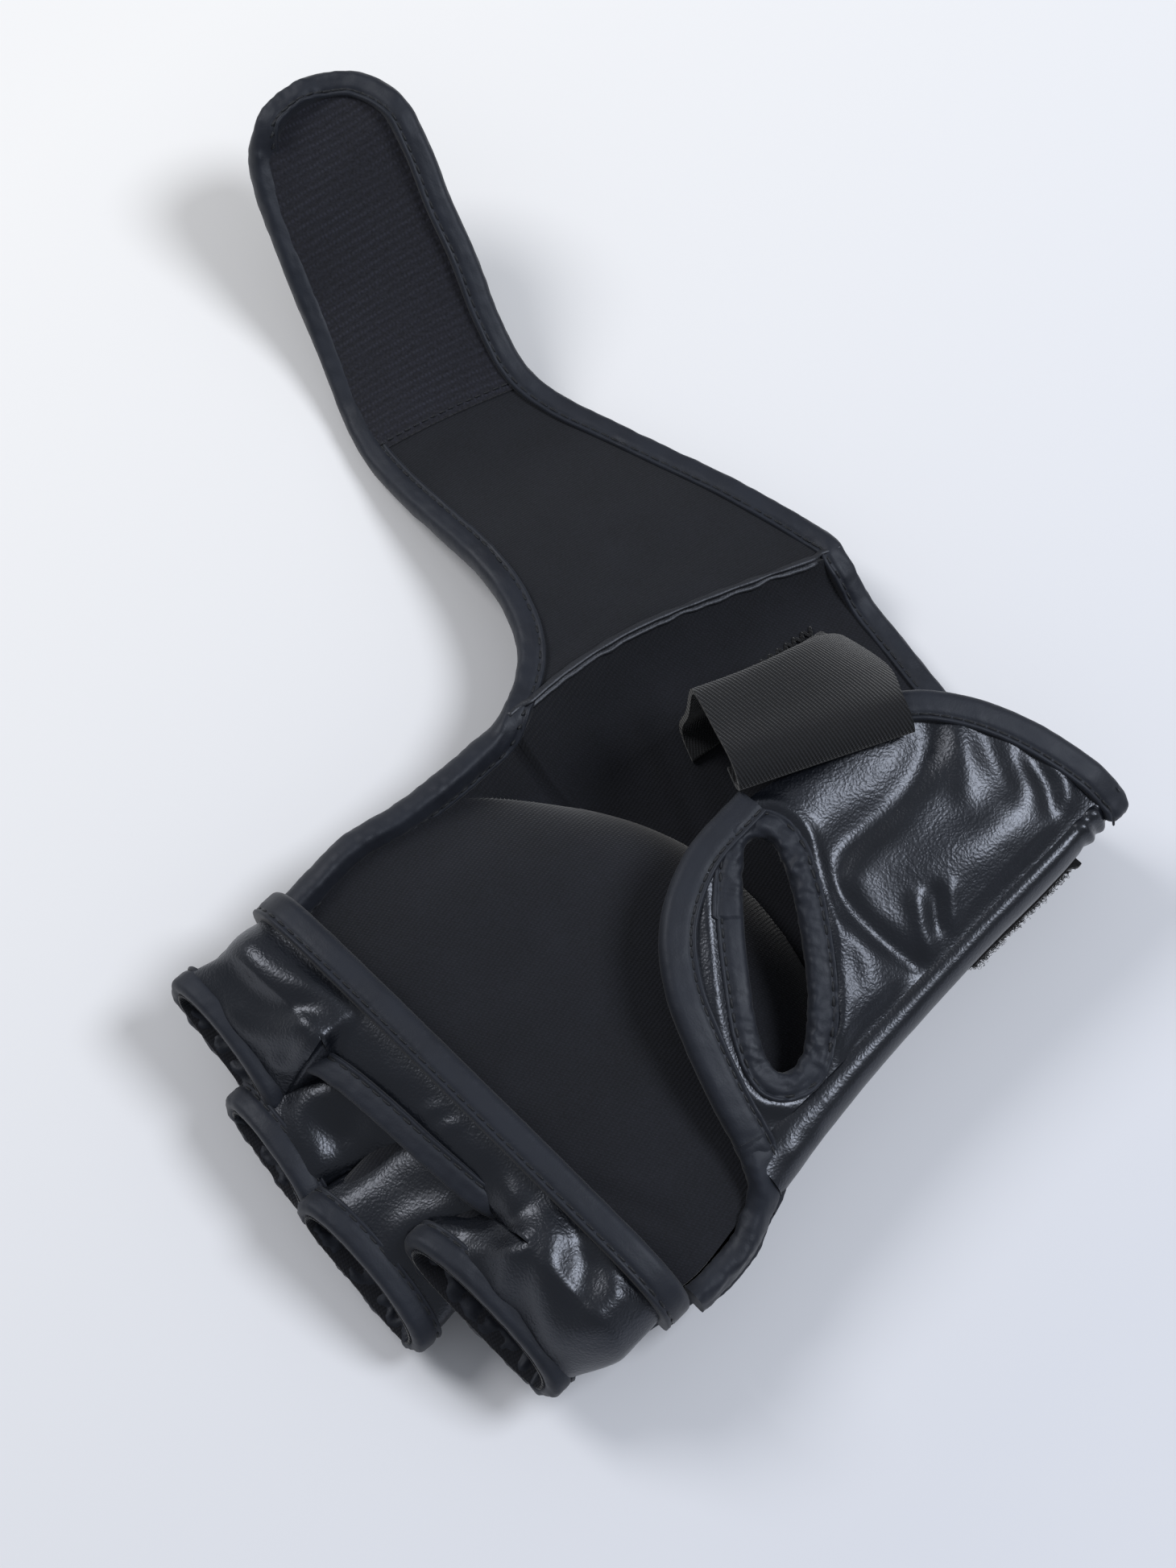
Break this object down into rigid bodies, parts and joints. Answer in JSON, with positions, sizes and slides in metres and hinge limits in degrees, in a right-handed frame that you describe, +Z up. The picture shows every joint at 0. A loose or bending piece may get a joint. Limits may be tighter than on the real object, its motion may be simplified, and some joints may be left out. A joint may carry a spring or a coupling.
{
  "type": "mixed martial arts glove",
  "caption": "Open-palm grappling glove for the left hand, lying palm up, with a thumb hole, finger sleeves, an elastic strap and a hook-and-loop wrist strap laid open.",
  "frame": {"origin": "on the table, under the middle of the glove's bounding box", "axes": "+X towards the thumb side, away from the wrist strap, +Y towards the wrist, +Z up out of the palm"},
  "size_m": [0.2802, 0.2058, 0.0488],
  "materials": {
    "leather": "glossy synthetic leather with fine grain",
    "tape": "matte synthetic leather tape",
    "welt": "glossy piping",
    "knit": "matte knit lining",
    "elastic": "ribbed elastic webbing",
    "hook": "hook tape",
    "loop": "fuzzy loop tape",
    "foam": "closed-cell foam"
  },
  "bodies": {
    "hand": {"back_shell": "leather", "knuckle_pad": "foam", "wrist_pad": "foam", "hand_lining": "knit", "loop_patch": "loop", "ulnar_binding": "tape", "wrist_binding": "tape", "side_binding": "tape", "strap_welt": "welt", "radial_side_panel": "leather", "elastic_strap": "elastic", "palm_band": "leather", "palm_band_lining": "knit", "palm_band_binding": "tape"},
    "thumb_panel": {"thumb_panel": "leather", "thumb_panel_lining": "knit", "thumb_hole_binding": "tape", "palm_edge_binding": "tape", "cuff_binding": "tape"},
    "strap_base": {"strap_root_shell": "leather", "strap_root_foam": "foam", "strap_root_lining": "knit", "strap_lower_binding": "tape", "strap_upper_binding": "tape"},
    "strap_tip": {"strap_tip_shell": "leather", "strap_tip_foam": "foam", "hook_patch": "hook", "strap_tip_binding": "tape"},
    "fingers": {"little_sleeve": "leather", "little_sleeve_lining": "knit", "little_end_binding": "tape", "ring_sleeve": "leather", "ring_sleeve_lining": "knit", "ring_end_binding": "tape", "middle_sleeve": "leather", "middle_sleeve_lining": "knit", "middle_end_binding": "tape", "index_sleeve": "leather", "index_sleeve_lining": "knit", "index_end_binding": "tape", "slit_binding": "tape"}
  },
  "joints": [
    {"name": "strap_root_fold", "type": "hinge", "parent": "hand", "child": "strap_base", "pos_m": [0.01478, 0.01012, 0.0273], "axis": [0.2233, 0.9687, -0.1089], "range_deg": [0, 110]},
    {"name": "strap_tip_fold", "type": "hinge", "parent": "strap_base", "child": "strap_tip", "pos_m": [-0.06652, 0.04645, 0.0091], "axis": [0.381, 0.9148, 0.1341], "range_deg": [-5, 60]},
    {"name": "thumb_panel_lift", "type": "hinge", "parent": "hand", "child": "thumb_panel", "pos_m": [0.12314, -0.02693, 0.0333], "axis": [0, 0.9997, 0.0246], "range_deg": [0, 20], "stiffness_Nm_per_rad": 0.03, "deforming": ["elastic_strap"]},
    {"name": "finger_flex", "type": "hinge", "parent": "hand", "child": "fingers", "pos_m": [0.06936, -0.07193, 0.0404], "axis": [-1, 0, 0], "range_deg": [0, 35]}
  ]
}
